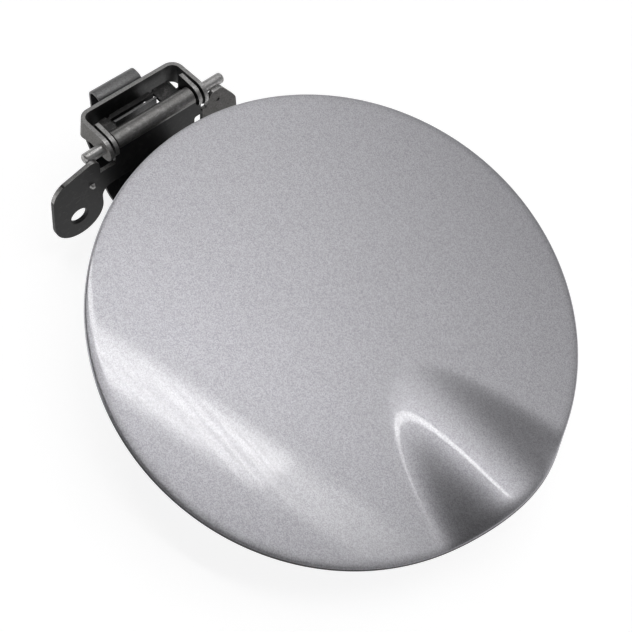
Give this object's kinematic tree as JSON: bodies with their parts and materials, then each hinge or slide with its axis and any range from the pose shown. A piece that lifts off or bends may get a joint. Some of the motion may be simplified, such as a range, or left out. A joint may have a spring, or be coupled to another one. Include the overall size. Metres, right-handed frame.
{
  "type": "car fuel door",
  "caption": "Round painted car fuel door with a raised finger lip, on a gooseneck arm that swings on a pin in a screwed hinge bracket, with a leaf spring.",
  "frame": {"origin": "middle of the two screw holes, on the bracket's mounting face", "axes": "+X off the mounting wall towards the door's middle, +Y along the hinge pin, +Z out of the car"},
  "size_m": [0.2023, 0.165, 0.0467],
  "materials": {
    "silver_paint": "metallic",
    "inner_paint": "satin",
    "black_coat": "satin, worn",
    "steel": "dull",
    "spring_steel": "dull",
    "rubber": "matt"
  },
  "bodies": {
    "bracket": {"hinge_bracket": "black_coat", "hinge_pin": "steel", "toggle_spring": "spring_steel"},
    "door": {"outer_skin": "silver_paint", "inner_panel": "inner_paint", "bump_stops": "rubber", "hinge_arm": "black_coat"}
  },
  "joints": [
    {"name": "door_swing", "type": "hinge", "parent": "bracket", "child": "door", "pos_m": [-0.002, 0.0045, 0.0228], "axis": [0, -1, 0], "range_deg": [0, 70], "deforming": ["toggle_spring"]}
  ]
}
